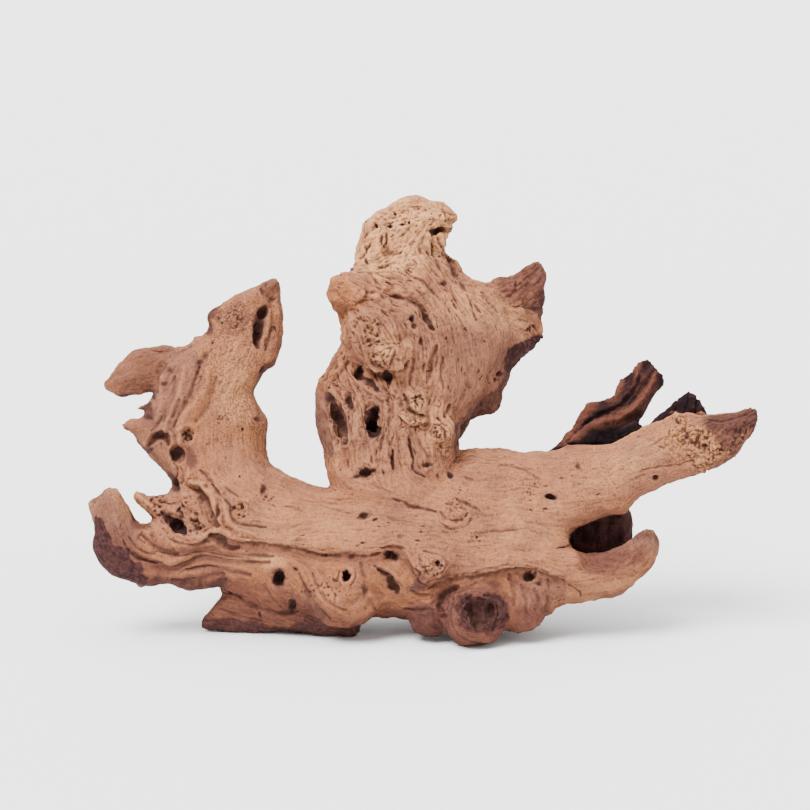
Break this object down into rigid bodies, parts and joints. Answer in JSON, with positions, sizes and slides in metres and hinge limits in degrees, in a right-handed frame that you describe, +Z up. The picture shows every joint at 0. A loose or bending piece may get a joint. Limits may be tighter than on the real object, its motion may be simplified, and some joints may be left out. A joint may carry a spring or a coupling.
{
  "type": "mopani root",
  "caption": "Dense twisted driftwood root with a broad pitted trunk, upright burl and branch, hooked ends and a dark rear fork, standing on its own knots and stubs.",
  "frame": {"origin": "centre of the bounding box's footprint, on the floor the root stands on", "axes": "+Z up; +X to the viewer's right along the root's length when its pale sandblasted front is faced; +Y away from the viewer, towards the dark back"},
  "size_m": [0.3995, 0.1234, 0.2565],
  "materials": {
    "pale_wood": "dry, sandblasted, matt",
    "dark_wood": "dark weathered, low sheen"
  },
  "bodies": {
    "root": {"trunk": "pale_wood", "left_branch": "pale_wood", "left_hook": "pale_wood", "centre_burl": "pale_wood", "right_arm": "pale_wood", "right_hook": "pale_wood", "rear_fork": "dark_wood"}
  },
  "joints": []
}
